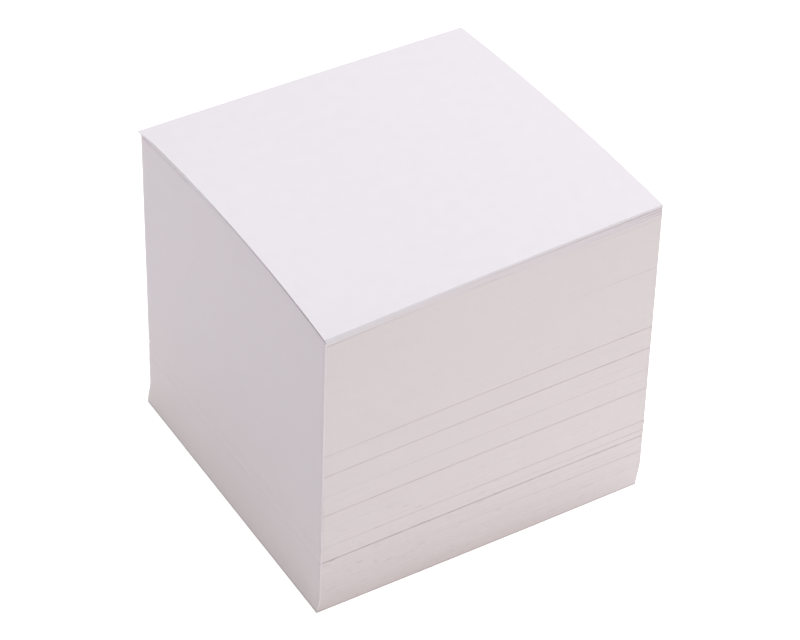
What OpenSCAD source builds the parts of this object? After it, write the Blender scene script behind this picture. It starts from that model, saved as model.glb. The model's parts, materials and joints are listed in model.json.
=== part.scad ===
/* [Sheets] */
// Width of a sheet, from the glued side across to the open side
sheet_w = 90; // [60:0.5:120]
// Depth of a sheet, along the glued side
sheet_d = 90; // [60:0.5:120]
// Thickness of one sheet
sheet_t = 0.1063; // [0.08:0.0001:0.13]
// Number of sheets in the top bundle, which lies over the edge of the glue film
top_count = 16; // [6:1:40]

/* [Gaps between bundles] */
// Height of the gap between two bundles of sheets
gap_h = 0.12; // [0.06:0.01:0.3]
// Depth of that gap, in from the front, the back and the open side
gap_d = 0.5; // [0.2:0.05:2]

/* [Bend of the sheets] */
// Bend radius of the top sheet; each sheet below it is a little flatter
bend_r = 630; // [300:5:3000]
// Turn of the bend's crest line in plan, away from square with the sheets, in degrees
bend_turn = 18; // [0:1:45]
// Distance of the crest line from the middle of the sheets, towards the back
crest_shift = 6.9; // [-20:0.1:20]

/* [Lean of the stack] */
// How far the top of the stack has moved towards the open side
lean_w = 3.2; // [0:0.1:8]
// How far the top of the stack has moved towards the back
lean_d = 0.3; // [0:0.1:8]
// Height of the foot, where the sheets have slid out towards the glued side
foot_h = 6.5; // [2:0.1:15]
// How far the lowest sheet has slid
foot_slide = 0.7; // [0:0.05:2]

/* [Glue film] */
// Thickness of the film of padding glue
film_t = 0.5; // [0.3:0.05:2]
// How far the top bundle stands out past the film
top_lip = 0.3; // [0.05:0.05:1]

/* [Hidden] */
$fn = 1440;
// Number of sheets in each bundle under the top one, from the foot up
bundle_counts = [100, 46, 44, 98, 55, 63, 59, 168, 151];
function sheets_up_to(i) = i < 0 ? 0 : bundle_counts[i] + sheets_up_to(i - 1);
top_bundle_z = sheets_up_to(len(bundle_counts) - 1) * sheet_t;
stack_h = top_bundle_z + top_count * sheet_t;
half_w = sheet_w / 2;
half_d = sheet_d / 2;
// Height and length that take a slice well past the stack
slice_h = 2 * stack_h;
reach = 4 * (sheet_w + sheet_d);
// The whole footprint, leaning top and slid foot counted in, has its middle at the origin
glued_reach = film_t + max(foot_slide, top_lip - lean_w);
middle_x = (glued_reach - lean_w) / 2;
middle_y = -lean_d / 2;

// Place of the middle of the sheet at a height
function sheet_x(z) = middle_x + lean_w * z / stack_h;
function sheet_y(z) = middle_y + lean_d * z / stack_h;

// Leaning slice of the stack between two distances across its width, drawn in at front and back
module leaning_slice(from_x, to_x, inset) {
    intersection() {
        rotate([90, 0, 0])
            linear_extrude(height = reach, center = true)
                polygon([
                    [sheet_x(0) - foot_slide + from_x, 0],
                    [sheet_x(0) - foot_slide + to_x, 0],
                    [sheet_x(foot_h) + to_x, foot_h],
                    [sheet_x(slice_h) + to_x, slice_h],
                    [sheet_x(slice_h) + from_x, slice_h],
                    [sheet_x(foot_h) + from_x, foot_h]
                ]);
        rotate([90, 0, 90])
            linear_extrude(height = reach, center = true)
                polygon([
                    [sheet_y(0) - half_d + inset, 0],
                    [sheet_y(0) + half_d - inset, 0],
                    [sheet_y(slice_h) + half_d - inset, slice_h],
                    [sheet_y(slice_h) - half_d + inset, slice_h]
                ]);
    }
}

// Everything under the bent sheet whose crest is at a height; the bend fades to nothing at the foot
module under_sheet(crest_z) {
    r = bend_r * stack_h / crest_z;
    translate([sheet_x(crest_z), sheet_y(crest_z), 0])
        rotate([0, 0, -bend_turn])
            translate([0, crest_shift, crest_z - r])
                rotate([0, 90, 0])
                    cylinder(h = reach, r = r, center = true);
}

// Gap all round the three open sides, between the bundle below a height and the one above it
module bundle_gap(z) {
    difference() {
        under_sheet(z + gap_h / 2);
        under_sheet(z - gap_h / 2);
        leaning_slice(-sheet_w, half_w - gap_d, gap_d);
    }
}

// Room beside the sheets for the film, under the top bundle
module film_room() {
    intersection() {
        leaning_slice(-sheet_w, -half_w, -film_t);
        under_sheet(top_bundle_z);
    }
}

// All the sheets, with the gaps that part them into bundles
module paper_block() {
    color([0.93, 0.92, 0.93])
        difference() {
            intersection() {
                leaning_slice(-half_w - film_t - top_lip, half_w, 0);
                under_sheet(stack_h);
            }
            film_room();
            for (i = [0 : len(bundle_counts) - 1])
                bundle_gap(sheets_up_to(i) * sheet_t);
        }
}

// Film of padding glue that binds the sheets along one side
module glue_film() {
    color([0.82, 0.79, 0.81])
        intersection() {
            leaning_slice(-half_w - film_t, -half_w, 0);
            under_sheet(top_bundle_z - gap_h);
        }
}

paper_block();
glue_film();
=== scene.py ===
import json
import math
import bmesh
import bpy
from mathutils import Matrix, Vector, noise

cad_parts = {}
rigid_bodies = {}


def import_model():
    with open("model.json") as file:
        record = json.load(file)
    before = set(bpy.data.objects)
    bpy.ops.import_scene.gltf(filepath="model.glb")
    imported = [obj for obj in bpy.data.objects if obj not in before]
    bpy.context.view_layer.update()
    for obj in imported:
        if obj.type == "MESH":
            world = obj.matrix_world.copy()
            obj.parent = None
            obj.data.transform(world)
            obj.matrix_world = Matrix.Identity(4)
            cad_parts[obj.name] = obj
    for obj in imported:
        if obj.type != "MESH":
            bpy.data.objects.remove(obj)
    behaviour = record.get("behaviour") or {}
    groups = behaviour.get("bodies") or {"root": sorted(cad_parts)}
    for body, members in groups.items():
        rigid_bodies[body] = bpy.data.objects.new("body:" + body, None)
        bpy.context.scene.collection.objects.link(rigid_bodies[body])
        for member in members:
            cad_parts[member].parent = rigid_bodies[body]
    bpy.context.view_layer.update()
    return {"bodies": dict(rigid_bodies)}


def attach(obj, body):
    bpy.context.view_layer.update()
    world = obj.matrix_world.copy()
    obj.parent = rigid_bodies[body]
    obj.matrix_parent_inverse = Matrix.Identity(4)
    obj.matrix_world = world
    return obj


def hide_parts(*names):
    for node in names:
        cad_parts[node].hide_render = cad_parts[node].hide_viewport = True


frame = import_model()
mm = 0.001
print("frame loaded, bodies:", ", ".join(frame["bodies"]))


def operator(name, swapped=False):
    def work(self, other):
        values = (other, self) if swapped else (self, other)
        return self.bench.maths(name, *values)
    return work


class Wire:  # an output socket that takes part in arithmetic
    def __init__(self, bench, socket):
        self.bench = bench
        self.socket = socket

    __add__ = operator("ADD")
    __radd__ = operator("ADD", swapped=True)
    __sub__ = operator("SUBTRACT")
    __rsub__ = operator("SUBTRACT", swapped=True)
    __mul__ = operator("MULTIPLY")
    __rmul__ = operator("MULTIPLY", swapped=True)
    __truediv__ = operator("DIVIDE")
    __rtruediv__ = operator("DIVIDE", swapped=True)
    __gt__ = operator("GREATER_THAN")
    __lt__ = operator("LESS_THAN")


class Bench:  # makes and joins the nodes of one tree
    def __init__(self, tree):
        self.tree = tree

    def find(self, sockets, key):
        if isinstance(key, int):
            return sockets[key]
        return next(s for s in sockets if s.enabled and s.name == key)

    def node(self, kind, settings=None, inputs=None, output=0):
        node = self.tree.nodes.new(kind)
        for name, value in (settings or {}).items():
            setattr(node, name, value)
        for key, value in (inputs or {}).items():
            socket = self.find(node.inputs, key)
            if isinstance(value, Wire):
                self.tree.links.new(value.socket, socket)
            else:
                socket.default_value = value
        return node if output is None else Wire(self, self.find(node.outputs, output))

    def maths(self, name, *values):
        return self.node("ShaderNodeMath", {"operation": name}, dict(enumerate(values)))

    def clamp(self, value):
        return self.node("ShaderNodeClamp", inputs={"Value": value})

    def ramp(self, value, fromLow, fromHigh, toLow=0.0, toHigh=1.0):  # straight, held at both ends
        share = self.clamp((value - fromLow) / (fromHigh - fromLow))
        return toLow + share * (toHigh - toLow)

    def between(self, value, low, high):
        return (value > low) * (value < high)

    def split(self, vector):
        node = self.node("ShaderNodeSeparateXYZ", inputs={0: vector}, output=None)
        return [Wire(self, socket) for socket in node.outputs]

    def join(self, x, y, z):
        return self.node("ShaderNodeCombineXYZ", inputs={0: x, 1: y, 2: z})

    def tint(self, factor, first, second):
        inputs = {"Factor": factor, "A": first, "B": second}
        return self.node("ShaderNodeMix", {"data_type": "RGBA"}, inputs, "Result")


def startTree(name, sizes, takesMesh=False):  # each entry of sizes becomes a named input
    tree = bpy.data.node_groups.new(name, "GeometryNodeTree")
    tree.interface.new_socket("Geometry", in_out="OUTPUT", socket_type="NodeSocketGeometry")
    if takesMesh:
        tree.interface.new_socket("Geometry", in_out="INPUT", socket_type="NodeSocketGeometry")
    for label, value in sizes.items():
        kind = "NodeSocketInt" if isinstance(value, int) else "NodeSocketFloat"
        tree.interface.new_socket(label, in_out="INPUT", socket_type=kind)
    bench = Bench(tree)
    source = bench.node("NodeGroupInput", output=None)
    return bench, {socket.name: Wire(bench, socket) for socket in source.outputs if socket.name}


sharpAngle = math.radians(35)  # edges that turn more than this stay crisp


def runTree(piece, tree, sizes):  # the tree's result becomes the piece's own plain mesh
    modifier = piece.modifiers.new(tree.name, "NODES")
    modifier.node_group = tree
    for item in tree.interface.items_tree:
        if item.in_out == "INPUT" and item.name in sizes:
            modifier[item.identifier] = sizes[item.name]
    shown = piece.evaluated_get(bpy.context.evaluated_depsgraph_get())
    mesh = bpy.data.meshes.new_from_object(shown)
    piece.modifiers.remove(modifier)
    piece.data = mesh
    mesh.set_sharp_from_angle(angle=sharpAngle)
    if mesh.materials[0] is None:  # the empty slot that a mesh primitive node brings
        mesh.materials.pop(index=0)
    mesh.name = piece.name
    print("made", piece.name, "with", len(mesh.polygons), "faces")


def newPiece(name, mesh=None):
    piece = bpy.data.objects.new(name, mesh or bpy.data.meshes.new(name))
    bpy.context.scene.collection.objects.link(piece)
    return piece


def startMaterial(name):
    material = bpy.data.materials.new(name)
    material.use_nodes = True
    material.node_tree.nodes.clear()
    return material, Bench(material.node_tree)


def finishMaterial(bench, colour, roughness, height, bumpDepth, **fixed):
    bump = bench.node("ShaderNodeBump", inputs={"Height": height, "Distance": bumpDepth})
    inputs = {"Base Color": colour, "Roughness": roughness, "Normal": bump}
    inputs.update({name.replace("_", " "): value for name, value in fixed.items()})
    shader = bench.node("ShaderNodeBsdfPrincipled", inputs=inputs)
    bench.node("ShaderNodeOutputMaterial", inputs={"Surface": shader}, output=None)


def noiseAt(bench, place, scale, detail=2.0, stretch=(1.0, 1.0, 1.0)):
    settings = {"vector_type": "POINT"}
    scaled = bench.node("ShaderNodeMapping", settings, {"Vector": place, "Scale": stretch})
    return bench.node("ShaderNodeTexNoise", inputs={"Vector": scaled, "Scale": scale, "Detail": detail})


sheetPitch = 0.1063 * mm  # from one sheet to the next
sheetCount = 800
topCount = 24  # sheets at the top that are a finer piece of their own

paperLook = {
    "face": (0.862, 0.822, 0.868, 1.0),
    "faceShade": (0.852, 0.811, 0.857, 1.0),
    "edge": (0.884, 0.808, 0.815, 1.0),
    "edgeShade": (0.84, 0.763, 0.771, 1.0),
    "upperPaintedShade": (0.79, 0.722, 0.728, 1.0),
    "topEdge": (0.852, 0.806, 0.832, 1.0),
    "gluedEdgeAndPaintedLight": (0.94, 0.883, 0.915, 1.0),
    "openTopEdge": (0.8, 0.729, 0.765, 1.0),
    "rim": (0.85, 0.81, 0.875, 1.0),
    "paintedFleckHighlight": (0.95, 0.89, 0.9, 1.0),
    "paintedFloorShade": (0.28, 0.14, 0.06, 1.0),
    "paintedContactShadow": (0.24, 0.23, 0.22, 1.0),
    # colour of the painted shade in gaps, grooves and dark flecks
    "crack": (0.27, 0.15, 0.155, 1.0),
    "roughness": 0.9,
    "faceGloss": 0.25,
    "edgeGloss": 0.2,
    "faceBump": 0.012 * mm,
    "edgeBump": 0.02 * mm,
    "cloudScale": 260.0,
    "fibreScale": 2600.0,
    "wanderScale": 70.0,
    "bundleScale": 0.21,
    "knifeScale": 900.0,
    "crackScale": 260.0,
    "fleckScale": 240.0,
    "grainScale": 5200.0,
    # where each tone starts and ends, counted in sheets from the foot
    "unevenSheets": (90.0, 190.0),
    "fleckSheets": (150.0, 280.0),
    "underTop": (762.0, 780.0),
    "topBundle": (777.0, 779.0),
    "seamSheets": (783.5, 784.5),
    "grooveSheets": (790.5, 798.5),
    "rimFrom": 791.5,
    "contactSheets": (1.0, 5.0),
    # heights at which the near and the wide painted shade over the floor end
    "floorShadeHeights": (5.0 * mm, 17.0 * mm),
}


def makePaperFace():
    material, bench = startMaterial("writingPaper")
    place = bench.node("ShaderNodeTexCoord", output="Object")
    cloud = noiseAt(bench, place, paperLook["cloudScale"], 3.0)  # the cloudy look of paper
    fibres = noiseAt(bench, place, paperLook["fibreScale"], 4.0, (1.0, 0.35, 1.0))
    colour = bench.tint(bench.ramp(cloud, 0.35, 0.65), paperLook["faceShade"], paperLook["face"])
    height = cloud * 0.35 + fibres * 0.65
    roughness = paperLook["roughness"] + (fibres - 0.5) * 0.08
    finishMaterial(bench, colour, roughness, height, paperLook["faceBump"],
                   Specular_IOR_Level=paperLook["faceGloss"])
    return material


def makePaperEdge():
    material, bench = startMaterial("cutPaperEdges")
    place = bench.node("ShaderNodeTexCoord", output="Object")
    layer = bench.node("ShaderNodeAttribute", {"attribute_name": "layer"}, output="Fac")
    oneSheet = bench.node("ShaderNodeTexWhiteNoise", {"noise_dimensions": "1D"}, {"W": layer}, "Value")
    bundle = bench.node("ShaderNodeTexNoise", {"noise_dimensions": "1D"},
                        {"W": layer, "Scale": paperLook["bundleScale"], "Detail": 3.0})
    wander = noiseAt(bench, place, paperLook["wanderScale"], 3.0, (1.0, 1.0, 14.0))  # along the sheets
    knife = noiseAt(bench, place, paperLook["knifeScale"], 2.0, (1.0, 1.0, 0.015))  # upright knife marks
    uneven = bench.ramp(layer, *paperLook["unevenSheets"], 1.0, 0.25)  # the lower sheets differ more
    tone = 0.5 + ((oneSheet - 0.5) * 0.36 + (bundle - 0.5) * 0.4) * uneven
    tone = tone + (wander - 0.5) * 0.3 + (knife - 0.5) * 0.1
    colour = bench.tint(bench.ramp(tone, 0.3, 0.7), paperLook["edgeShade"], paperLook["edge"])
    x, y, z = bench.split(place)
    # painted shade: the upper sides are painted a little darker, more so towards the open side
    upper = bench.ramp(z, 0.02, 0.085) * bench.ramp(x, 0.0, 0.045, 0.48, 0.72)
    colour = bench.tint(upper, colour, paperLook["upperPaintedShade"])
    topBundle = bench.ramp(layer, *paperLook["topBundle"]) * bench.ramp(x, -0.045, 0.0, 0.8, 0.1)
    colour = bench.tint(topBundle, colour, paperLook["topEdge"])
    underTop = bench.ramp(layer, *paperLook["underTop"]) * (layer < paperLook["rimFrom"])
    underTop = underTop * bench.ramp(x, -0.03, 0.03, 0.0, 0.9)
    colour = bench.tint(underTop, colour, paperLook["openTopEdge"])
    colour = bench.tint((layer > paperLook["rimFrom"]) * 0.5, colour, paperLook["rim"])
    normal = bench.node("ShaderNodeNewGeometry", output="Normal")
    glued = bench.split(normal)[0] < -0.7
    # the glue-coated edges of the glued side, also painted lighter to make up for the shade under the top
    # sheets' lip: partly painted light
    colour = bench.tint(glued, colour, paperLook["gluedEdgeAndPaintedLight"])
    # painted shade: the gaps between bundles are painted dark on the sheets beside them, broken in places
    crack = bench.node("ShaderNodeAttribute", {"attribute_name": "crack"}, output="Fac")
    broken = noiseAt(bench, place, paperLook["crackScale"], 2.0, (1.0, 1.0, 3.0))  # closes in places
    crack = crack * bench.ramp(broken, 0.38, 0.6, 0.75, 1.1)
    # painted shade in the groove under the two top sheets, and in the crack between the bare edges and the
    # film
    groove = bench.between(layer, *paperLook["grooveSheets"]) * bench.ramp(y, 0.014, -0.045, 0.0, 0.85)
    groove = groove * bench.ramp(y, -0.0452, -0.0438, 0.3, 1.0)
    seamShade = bench.between(layer, *paperLook["seamSheets"]) * bench.ramp(y, 0.008, 0.024, 0.0, 0.75)
    crack = crack + glued * (groove + seamShade * bench.ramp(broken, 0.4, 0.5, 0.5, 1.0))
    # painted shade and painted highlight: short dark and bright flecks where single low sheets stand in or
    # out
    inSheet = bench.join(x, y, layer * sheetPitch)
    fleck = noiseAt(bench, inSheet, paperLook["fleckScale"], 1.0, (1.0, 1.0, 14.0))
    lowSheets = bench.ramp(layer, *paperLook["fleckSheets"], 1.0, 0.2) * bench.ramp(bundle, 0.42, 0.56)
    crack = crack + bench.ramp(fleck, 0.67, 0.73, 0.0, 0.28) * lowSheets
    bright = bench.ramp(fleck, 0.32, 0.27, 0.0, 0.7) * lowSheets
    colour = bench.tint(bright, colour, paperLook["paintedFleckHighlight"])
    # all the painted shade of gaps, groove, seam and dark flecks goes on here
    colour = bench.tint(bench.clamp(crack), colour, paperLook["crack"])
    # painted shade just over the floor, and a painted contact shadow where the lowest sheets meet it
    nearShadeTop, wideShadeTop = paperLook["floorShadeHeights"]
    paintedFloorShade = bench.ramp(z, 0.0, nearShadeTop, 0.11, 0.0) + bench.ramp(z, 0.0, wideShadeTop, 0.08, 0.0)
    paintedFloorShade = paintedFloorShade * bench.ramp(x, 0.01, 0.042, 1.0, 0.2)
    colour = bench.tint(paintedFloorShade, colour, paperLook["paintedFloorShade"])
    contactShadow = bench.ramp(layer, *paperLook["contactSheets"], 0.3, 0.0)
    colour = bench.tint(contactShadow, colour, paperLook["paintedContactShadow"])
    grain = noiseAt(bench, place, paperLook["grainScale"], 3.0)
    height = knife * 0.4 + grain * 0.6
    roughness = paperLook["roughness"] + (grain - 0.5) * 0.1
    finishMaterial(bench, colour, roughness, height, paperLook["edgeBump"],
                   Specular_IOR_Level=paperLook["edgeGloss"])
    return material


filmLook = {
    "colour": (0.852, 0.782, 0.826, 1.0),
    "shade": (0.838, 0.760, 0.802, 1.0),
    "cutEnd": (0.895, 0.825, 0.85, 1.0),
    "low": (0.886, 0.804, 0.808, 1.0),
    # colour of the film's painted floor shade and painted contact shadow
    "foot": (0.27, 0.2, 0.21, 1.0),
    "roughness": 0.5,
    "gloss": 0.3,
    "bump": 0.02 * mm,
    "patchScale": 55.0,
    "brushScale": 420.0,
    "poreScale": 1900.0,
    "filmShadeHeight": 3.0 * mm,
    "contactHeights": (0.3 * mm, 0.9 * mm),
}


def makeGlue():
    material, bench = startMaterial("paddingGlue")
    place = bench.node("ShaderNodeTexCoord", output="Object")
    patches = noiseAt(bench, place, filmLook["patchScale"], 3.0, (1.0, 1.0, 0.7))
    brushed = noiseAt(bench, place, filmLook["brushScale"], 2.0, (1.0, 0.12, 1.0))  # the brush's way
    tone = patches * 0.7 + brushed * 0.3
    colour = bench.tint(bench.ramp(tone, 0.3, 0.7), filmLook["shade"], filmLook["colour"])
    normal = bench.node("ShaderNodeNewGeometry", output="Normal")
    cut = bench.maths("ABSOLUTE", bench.split(normal)[1]) > 0.7
    z = bench.split(place)[2]
    colour = bench.tint(bench.ramp(z, 0.0, 0.04, 0.9, 0.0), colour, filmLook["low"])
    colour = bench.tint(cut * bench.ramp(z, 0.004, 0.03, 0.3, 1.0), colour, filmLook["cutEnd"])
    # painted shade just over the floor, and a painted contact shadow along the film's foot
    paintedFloorShade = bench.ramp(z, 0.0, filmLook["filmShadeHeight"], 0.07, 0.0)
    paintedFloorShade = paintedFloorShade + bench.ramp(z, *filmLook["contactHeights"], 0.25, 0.0)
    colour = bench.tint(paintedFloorShade, colour, filmLook["foot"])
    pores = noiseAt(bench, place, filmLook["poreScale"], 3.0)
    height = brushed * 0.5 + pores * 0.3 + patches * 0.2
    roughness = filmLook["roughness"] + (patches - 0.5) * 0.16
    finishMaterial(bench, colour, roughness, height, filmLook["bump"],
                   Specular_IOR_Level=filmLook["gloss"])
    return material


paperFace = makePaperFace()
paperEdge = makePaperEdge()
glue = makeGlue()
print("materials made")

# sizes that every piece shares; the main ones are the CAD part's own
stack = {
    "Width": 90.3 * mm,
    "Depth": 90 * mm,
    "Height": 85.04 * mm,
    "Bend radius": 630 * mm,
    "Bend turn": math.radians(18),
    "Crest shift": 6.9 * mm,
    "Lean": 3.2 * mm,
    "Lean back": 0.3 * mm,
    "Middle X": -0.85 * mm,
    "Middle Y": -0.15 * mm,
    "Twist": math.radians(0.8),
    "Glued edge rise": 0.855 * mm,
    "Glued edge reach": 40 * mm,
    "Near corner droop": 0.35 * mm,
    "Foot height near": 3.8 * mm,
    "Foot height far": 7 * mm,
    "Foot slide near": 0.9 * mm,
    "Foot slide far": 0.55 * mm,
    "Foot slide front": 0.4 * mm,
    "Foot slide back": 0.7 * mm,
}

# gaps between bundles: level, opening at the glued end, at the open end (mm), share kept at the back
gaps = [
    (0.0700, 0.004, 0.010, 0.8),
    (0.0920, 0.008, 0.005, 0.5),
    (0.1240, -0.012, 0.032, 0.9),
    (0.1815, 0.080, 0.054, 0.8),
    (0.2030, -0.030, 0.030, 0.6),
    (0.2360, 0.016, 0.042, 1.0),
    (0.3040, 0.010, -0.013, 0.4),
    (0.3580, 0.044, 0.037, 0.9),
    (0.4280, 0.010, 0.021, 0.7),
    (0.4610, -0.006, 0.008, 0.5),
    (0.5035, 0.037, 0.049, 0.8),
    (0.5530, -0.026, 0.005, 0.3),
    (0.5785, 0.025, 0.048, 1.0),
    (0.7890, -0.042, 0.021, 0.5),
    (0.9560, -0.032, 0.014, 0.4),
    (0.9735, 0.048, -0.090, 0.6),
    (0.9722, -0.400, 0.035, 0.7),
    (0.9815, -0.250, 0.050, 0.6),
    (0.9905, -0.020, 0.062, 0.8),
]


def openingAt(bench, gap, across, along):  # how far a gap stands open at a place round the block
    level, gluedEnd, openEnd, backShare = gap
    opening = bench.maths("MAXIMUM", gluedEnd * mm + across * ((openEnd - gluedEnd) * mm), 0.0)
    return opening * (1.0 - along * (1.0 - backShare))


# bundles that stand a little out of line: from level, to level, shift towards the open side (mm)
bundleShifts = [
    (0.0000, 0.1815, -0.06),
    (0.2260, 0.2360, 0.18),
    (0.2360, 0.2460, -0.10),
]


def stackShape(bench, size, flat, sheetMiddle):  # where a point of the level, square stack really lies
    x, y, z = bench.split(flat)
    halfWidth = size["Width"] / 2
    halfDepth = size["Depth"] / 2
    across = (x + halfWidth) / size["Width"]
    along = (y + halfDepth) / size["Depth"]
    level = z / size["Height"]
    sheetLevel = sheetMiddle / size["Height"]
    lift = 0.0
    for gap in gaps:
        lift = lift + openingAt(bench, gap, across, along) * ((sheetLevel > gap[0]) - level)
    shiftX = 0.0
    for low, high, moved in bundleShifts:
        shiftX = shiftX + bench.between(sheetLevel, low, high) * (moved * mm)
    turn = size["Bend turn"]
    fromCrest = y * bench.maths("COSINE", turn) + x * bench.maths("SINE", turn) - size["Crest shift"]
    sag = fromCrest * fromCrest / (size["Bend radius"] * 2.0)
    nearGlue = bench.clamp(1.0 - (x + halfWidth) / size["Glued edge reach"])
    arch = 1.0 - y * y / (halfDepth * halfDepth)
    rise = size["Glued edge rise"] * arch * nearGlue * nearGlue
    nearFront = bench.clamp(1.0 - along * 3.0)
    rise = rise - size["Near corner droop"] * nearGlue * nearFront * nearFront
    height = z + lift + (rise - sag) * level
    share = height / size["Height"]
    slide = size["Foot slide near"] + along * (size["Foot slide far"] - size["Foot slide near"])
    fromNear = bench.maths("MAXIMUM", along, across)
    footHeight = size["Foot height near"] + fromNear * (size["Foot height far"] - size["Foot height near"])
    low = bench.clamp(1.0 - height / footHeight)
    low = low * low * (3.0 - low * 2.0)
    angle = size["Twist"] * (share - 0.5)
    cosine = bench.maths("COSINE", angle)
    sine = bench.maths("SINE", angle)
    newX = x * cosine - y * sine + size["Middle X"] + size["Lean"] * share - slide * low + shiftX
    newY = x * sine + y * cosine + size["Middle Y"] + size["Lean back"] * share
    newY = newY - size["Foot slide front"] * (1.0 - across * across * across) * (1.0 - along) * low
    newY = newY + size["Foot slide back"] * bench.ramp(along, 0.8, 1.0) * nearGlue * nearGlue * low
    return bench.join(newX, newY, height)


# loose sheets; the top bundle stands out over the edge of the glue film
sheets = {
    "First sheet": 0,
    "Sheets": sheetCount - topCount,
    "Points across": 4,
    "Points along": 11,
    "Pitch": sheetPitch,
    "Thickness": 0.1045 * mm,
    "Jitter": 0.007 * mm,
    "Drift": 0.02 * mm,
    "Wobble": math.radians(0.012),
    "Flush": 0.5 * mm,
    "Top lip front": 0.12 * mm,
    "Top lip back": 0.22 * mm,
    "Corner tip": 0.65 * mm,
    "Corner end": 0.425 * mm,
    "Opening of full gap shade": 0.12 * mm,
    "Seed": 7,
}
# depth of the sheets' edges that the film leaves bare: share of the glued side's length, depth (mm)
bareEdges = [(0.0, 0.22), (0.46, 0.22), (0.52, 0.8), (0.73, 1.68), (1.0, 1.68)]
topTwo = 0.22 * mm
grooveDepth = 0.9 * mm  # the sheets between the top two and the film's rim, which lie further in


def makeSheetTree():
    bench, size = startTree("sheetStack", {**stack, **sheets})
    step = bench.join(0.0, 0.0, size["Pitch"])
    start = bench.join(0.0, 0.0, size["Pitch"] * (size["First sheet"] + 0.5))
    line = bench.node("GeometryNodeMeshLine",
                      inputs={"Count": size["Sheets"], "Start Location": start, "Offset": step})
    layer = bench.node("GeometryNodeInputIndex") + size["First sheet"]
    line = bench.node("GeometryNodeStoreNamedAttribute", {"data_type": "FLOAT", "domain": "POINT"},
                      {"Geometry": line, "Name": "layer", "Value": layer})
    jitter = [bench.node("FunctionNodeRandomValue", {"data_type": "FLOAT"},
                         {"Min": -1.0, "Max": 1.0, "ID": layer, "Seed": size["Seed"] + turn},
                         "Value") for turn in range(3)]
    drift = [bench.node("ShaderNodeTexNoise", {"noise_dimensions": "1D"},
                        {"W": layer + offset, "Scale": 0.045, "Detail": 3.0}) * 2.0 - 1.0
             for offset in (0.0, 5000.0)]
    line = bench.node("GeometryNodeSetPosition", inputs={
        "Geometry": line,
        "Offset": bench.join(jitter[0] * size["Jitter"] + drift[0] * size["Drift"],
                             jitter[1] * size["Jitter"] + drift[1] * size["Drift"], 0.0)})
    turned = bench.node("FunctionNodeEulerToRotation",
                        inputs={0: bench.join(0.0, 0.0, jitter[2] * size["Wobble"])})
    sheet = bench.node("GeometryNodeMeshCube", inputs={
        "Size": bench.join(size["Width"], size["Depth"], size["Thickness"]),
        "Vertices X": size["Points across"], "Vertices Y": size["Points along"], "Vertices Z": 2})
    pile = bench.node("GeometryNodeInstanceOnPoints",
                      inputs={"Points": line, "Instance": sheet, "Rotation": turned})
    pile = bench.node("GeometryNodeRealizeInstances", inputs={0: pile})
    x, y, z = bench.split(bench.node("GeometryNodeInputPosition"))
    layer = bench.node("GeometryNodeInputNamedAttribute", {"data_type": "FLOAT"},
                       {"Name": "layer"}, "Attribute")
    middle = (layer + 0.5) * size["Pitch"]
    across = x / size["Width"] + 0.5
    along = y / size["Depth"] + 0.5
    crack = 0.0  # how much painted shade the gap beside a sheet puts on it
    for gap in gaps:
        apart = bench.maths("ABSOLUTE", middle - size["Height"] * gap[0])
        beside = apart < size["Pitch"]
        crack = crack + beside * openingAt(bench, gap, across, along) / size["Opening of full gap shade"]
    pile = bench.node("GeometryNodeStoreNamedAttribute", {"data_type": "FLOAT", "domain": "POINT"},
                      {"Geometry": pile, "Name": "crack", "Value": bench.clamp(crack)})
    depth = size["Height"] - middle
    bare = bareEdges[0][1] * mm
    for (fromShare, fromDepth), (toShare, toDepth) in zip(bareEdges, bareEdges[1:]):
        bare = bare + bench.ramp(along, fromShare, toShare, 0.0, (toDepth - fromDepth) * mm)
    tip = bench.ramp(along, 0.88, 1.0)
    top = size["Top lip front"] + along * (size["Top lip back"] - size["Top lip front"])
    top = top + size["Corner tip"] * tip * tip
    out = size["Flush"] * (depth < bare) + top * (depth < topTwo)
    cornerEnd = bench.ramp(along, 0.02, 0.0) * (depth > bare) * (depth < grooveDepth)
    out = (out + size["Corner end"] * cornerEnd) * (x < size["Width"] * -0.49)
    shape = stackShape(bench, size, bench.join(x - out, y, z), middle)
    pile = bench.node("GeometryNodeSetPosition", inputs={"Geometry": pile, "Position": shape})
    level = bench.maths("ABSOLUTE", bench.split(bench.node("GeometryNodeInputNormal"))[2]) > 0.5
    pile = bench.node("GeometryNodeSetShadeSmooth", {"domain": "FACE"},
                      {"Geometry": pile, "Selection": level, "Shade Smooth": True})
    pile = bench.node("GeometryNodeSetMaterial", inputs={"Geometry": pile, "Material": paperEdge})
    pile = bench.node("GeometryNodeSetMaterial",
                      inputs={"Geometry": pile, "Selection": level, "Material": paperFace})
    bench.node("NodeGroupOutput", inputs={"Geometry": pile}, output=None)
    return bench.tree


sheetTree = makeSheetTree()
paperBlock = newPiece("paperBlock")
runTree(paperBlock, sheetTree, {**stack, **sheets})
topSheets = newPiece("topSheets")
topSizes = {"First sheet": sheetCount - topCount, "Sheets": topCount,
            "Points across": 19, "Points along": 46}
runTree(topSheets, sheetTree, {**stack, **sheets, **topSizes})

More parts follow.
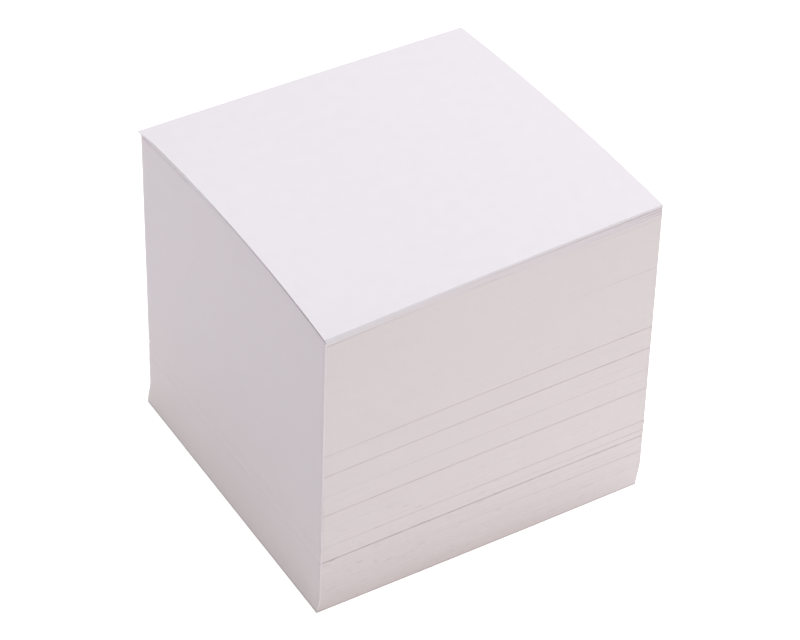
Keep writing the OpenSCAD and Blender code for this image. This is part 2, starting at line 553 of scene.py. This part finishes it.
# the film's sizes, in mm
film = {
    "thickness": 0.5,
    "clearance": 0.02,
    "rimRadius": 0.2,
    "endRadius": 0.15,
    "rowStep": 1.0,
    "columnStep": 1.5,
    "endShares": (0.0, 0.15, 0.45, 1.0),
    "rimRows": 10,
    "rimTurns": (0, 18, 36, 54, 72, 90),
    "backTurns": (0, 30, 60, 90),
    "wave": 0.03,
    "waveSize": (14, 11),
    "rippleSize": (4, 3),
    "rippleShare": 0.4,
    "creaseDepth": 2.15,
    "creaseHeight": 0.05,
    "creaseWidth": 0.25,
    "rimLean": 0.1,
    "topDepths": [(0.0, 1.02), (0.46, 0.88), (0.52, 0.95), (0.73, 1.77), (1.0, 1.77)],
    "crackLevel": 0.1815,
    "crackStep": 0.05,
    "crackGroove": 0.06,
    "crackRows": (-0.25, -0.08, 0.0, 0.08, 0.25),
    "crackClear": 0.3,
    "crackReach": 0.12,
}


def filmTop(along):  # height of the film's upper rim, from the front end to the back end
    depths = film["topDepths"]
    for (fromShare, fromDepth), (toShare, toDepth) in zip(depths, depths[1:]):
        if along <= toShare + 1e-6:
            share = (along - fromShare) / (toShare - fromShare)
            return stack["Height"] / mm - fromDepth - share * (toDepth - fromDepth)


def makeFilmMesh():
    halfWidth = stack["Width"] / mm / 2
    halfDepth = stack["Depth"] / mm / 2
    crack = film["crackLevel"] * stack["Height"] / mm
    lowestTop = filmTop(1.0)
    rows = [row * film["rowStep"] for row in range(int(lowestTop / film["rowStep"]) - 1)]
    rows = [film["clearance"]] + [row for row in rows[1:] if abs(row - crack) > film["crackClear"]]
    rows = sorted(rows + [crack + offset for offset in film["crackRows"]])
    upper = [row / film["rimRows"] for row in range(film["rimRows"] + 1)]  # rows that follow the rim
    ends = [film["endRadius"] * share for share in film["endShares"]]
    inner = int(stack["Depth"] / mm / film["columnStep"])
    columns = [-halfDepth + end for end in ends]
    columns += [-halfDepth + film["columnStep"] * step for step in range(1, inner)]
    columns += [halfDepth - end for end in reversed(ends)]
    thick = film["thickness"] - film["clearance"]
    rim = film["rimRadius"]
    (waveY, waveZ), (rippleY, rippleZ) = film["waveSize"], film["rippleSize"]
    rimStart = rows[-1] + 0.5 * film["rowStep"]  # from here up the rows follow the rim
    bend = stack["Height"] / mm - film["creaseDepth"]
    points = []
    for y in columns:
        along = (y + halfDepth) / (2 * halfDepth)
        top = filmTop(along)
        nearEnd = max(0.0, 1.0 - along / film["crackReach"]) ** 2
        fromEnd = max(0.0, film["endRadius"] - (halfDepth - abs(y)))
        rounded = film["endRadius"] - math.sqrt(max(film["endRadius"] ** 2 - fromEnd ** 2, 0.0))
        loop = []
        reach = top - rim - rimStart
        for z in rows + [rimStart + reach * share for share in upper]:
            wave = noise.noise(Vector((y / waveY, z / waveZ, 3.7)))
            wave += film["rippleShare"] * noise.noise(Vector((y / rippleY, z / rippleZ, 9.1)))
            step = film["crackStep"] * nearEnd * (1.0 if z < crack else 0.0)
            groove = film["crackGroove"] * nearEnd * (1.0 if z == crack else 0.0)
            lean = film["rimLean"] * max(0.0, z - bend)
            crease = film["creaseHeight"] * max(0.0, 1.0 - abs(z - bend) / film["creaseWidth"])
            loop.append((thick - rounded + film["wave"] * wave + step - groove - lean - crease, z))
        outer = loop[-1][0]
        for angle in map(math.radians, film["rimTurns"]):
            loop.append((outer - rim + rim * math.cos(angle), top - rim + rim * math.sin(angle)))
        for angle in map(math.radians, film["backTurns"]):
            loop.append((rim * 0.5 - rim * 0.5 * math.sin(angle),
                         top - rim * 0.5 + rim * 0.5 * math.cos(angle)))
        loop += [(0.0, z) for offset, z in reversed(loop[:len(rows) + len(upper)])]
        points.append([(-halfWidth - film["clearance"] - offset, y, z) for offset, z in loop])
    count = len(points[0])
    faces = []
    for column in range(len(columns) - 1):
        for row in range(count):
            nextRow = (row + 1) % count
            here, there = column * count, (column + 1) * count
            faces.append((here + row, here + nextRow, there + nextRow, there + row))
    last = (len(columns) - 1) * count
    faces.append(tuple(range(count)))
    faces.append(tuple(last + row for row in reversed(range(count))))
    mesh = bpy.data.meshes.new("glueFilm")
    mesh.from_pydata([Vector(point) * mm for loop in points for point in loop], [], faces)
    shell = bmesh.new()
    shell.from_mesh(mesh)
    bmesh.ops.recalc_face_normals(shell, faces=shell.faces)
    for face in shell.faces:
        face.smooth = len(face.verts) == 4
    bmesh.ops.triangulate(shell, faces=[face for face in shell.faces if len(face.verts) > 4])
    shell.to_mesh(mesh)
    shell.free()
    return mesh


def makeFilmTree():
    bench, size = startTree("filmShape", stack, takesMesh=True)
    flat = bench.node("GeometryNodeInputPosition")
    shape = stackShape(bench, size, flat, bench.split(flat)[2])
    skin = bench.node("GeometryNodeSetPosition", inputs={"Geometry": size["Geometry"], "Position": shape})
    skin = bench.node("GeometryNodeSetMaterial", inputs={"Geometry": skin, "Material": glue})
    bench.node("NodeGroupOutput", inputs={"Geometry": skin}, output=None)
    return bench.tree


glueFilm = newPiece("glueFilm", makeFilmMesh())
runTree(glueFilm, makeFilmTree(), stack)

for piece, node, slotName in ((paperBlock, "paper_block", "paper"),
                              (topSheets, "paper_block", "paper"),
                              (glueFilm, "glue_film", "padding_glue")):
    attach(piece, "root")
    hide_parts(node)
print("pieces placed")

camera = {
    "eye": (-305.912, -536.113, 530.1),
    "aim": (0.801, -2.282, 40.016),
    "roll": -0.7045,
    "lens": 144.3484,
    "sensor": 36.0,
    "nearest": 0.01,
}


def makeCamera():
    eye = Vector(camera["eye"]) * mm
    forward = Vector(camera["aim"]) * mm - eye
    turn = forward.to_track_quat("-Z", "Y").to_matrix().to_4x4()
    data = bpy.data.cameras.new("camera")
    data.lens = camera["lens"]
    data.sensor_width = camera["sensor"]
    data.clip_start = camera["nearest"]
    holder = bpy.data.objects.new("camera", data)
    roll = Matrix.Rotation(math.radians(camera["roll"]), 4, "Z")
    holder.matrix_world = Matrix.Translation(eye) @ turn @ roll
    bpy.context.scene.collection.objects.link(holder)
    bpy.context.scene.camera = holder


makeCamera()

surroundings = {
    "floorSize": 8.0,
    "floorColour": (0.8, 0.8, 0.8, 1.0),
    "floorGlow": 0.72,
    "sky": 0.429,
    "white": (1.0, 1.0, 1.0, 1.0),
}


def seenRay(bench):  # 1 for what the camera sees, also in gloss and through glass
    path = bench.node("ShaderNodeLightPath", output=None)
    rays = [Wire(bench, path.outputs[name])
            for name in ("Is Camera Ray", "Is Glossy Ray", "Is Transmission Ray")]
    return bench.clamp(rays[0] + rays[1] + rays[2])


def makeFloor():
    half = surroundings["floorSize"] / 2
    mesh = bpy.data.meshes.new("floor")
    corners = [(-half, -half, 0), (half, -half, 0), (half, half, 0), (-half, half, 0)]
    mesh.from_pydata(corners, [], [(0, 1, 2, 3)])
    floor = newPiece("floor", mesh)
    material, bench = startMaterial("paleFloor")
    plain = bench.node("ShaderNodeBsdfDiffuse", inputs={"Color": surroundings["floorColour"]})
    glow = bench.node("ShaderNodeEmission", inputs={"Strength": surroundings["floorGlow"]})
    seen = bench.node("ShaderNodeAddShader", inputs={0: plain, 1: glow})
    surface = bench.node("ShaderNodeMixShader", inputs={0: seenRay(bench), 1: plain, 2: seen})
    bench.node("ShaderNodeOutputMaterial", inputs={"Surface": surface}, output=None)
    mesh.materials.append(material)


def makeWorld():
    world = bpy.data.worlds.new("studio")
    world.use_nodes = True
    world.node_tree.nodes.clear()
    bench = Bench(world.node_tree)
    plain = surroundings["white"]
    sky = bench.node("ShaderNodeBackground", inputs={"Color": plain, "Strength": surroundings["sky"]})
    white = bench.node("ShaderNodeBackground", inputs={"Color": plain, "Strength": 1.0})
    surface = bench.node("ShaderNodeMixShader", inputs={0: seenRay(bench), 1: sky, 2: white})
    bench.node("ShaderNodeOutputWorld", inputs={"Surface": surface}, output=None)
    bpy.context.scene.world = world


# place, what it points at, width, height (all in metres) and power in watts
lamps = {
    "topRight": ((0.8, 0.0, 1.1), (0.0, 0.0, 0.05), 0.8, 0.8, 8.47),
    "topBack": ((0.5, 0.6, 1.2), (0.0, 0.0, 0.05), 0.8, 0.8, 2.39),
    "front": ((0.1, -1.0, 0.8), (0.0, 0.0, 0.04), 0.6, 0.6, 2.02),
    "rightLow": ((0.55, -0.5, 0.15), (0.0, 0.0, 0.04), 0.3, 0.3, 0.94),
    "leftLow": ((-0.5, 0.5, 0.15), (0.0, 0.0, 0.04), 0.3, 0.3, 0.743),
}


def makeLamp(name, place, aim, width, height, power):
    data = bpy.data.lights.new(name, "AREA")
    data.shape = "RECTANGLE"
    data.size = width
    data.size_y = height
    data.energy = power
    lamp = bpy.data.objects.new(name, data)
    lamp.location = place
    lamp.rotation_euler = (Vector(aim) - Vector(place)).to_track_quat("-Z", "Y").to_euler()
    bpy.context.scene.collection.objects.link(lamp)


makeFloor()
makeWorld()
for name, settings in lamps.items():
    makeLamp(name, *settings)
bpy.context.scene.view_settings.view_transform = "Standard"
print("studio made")
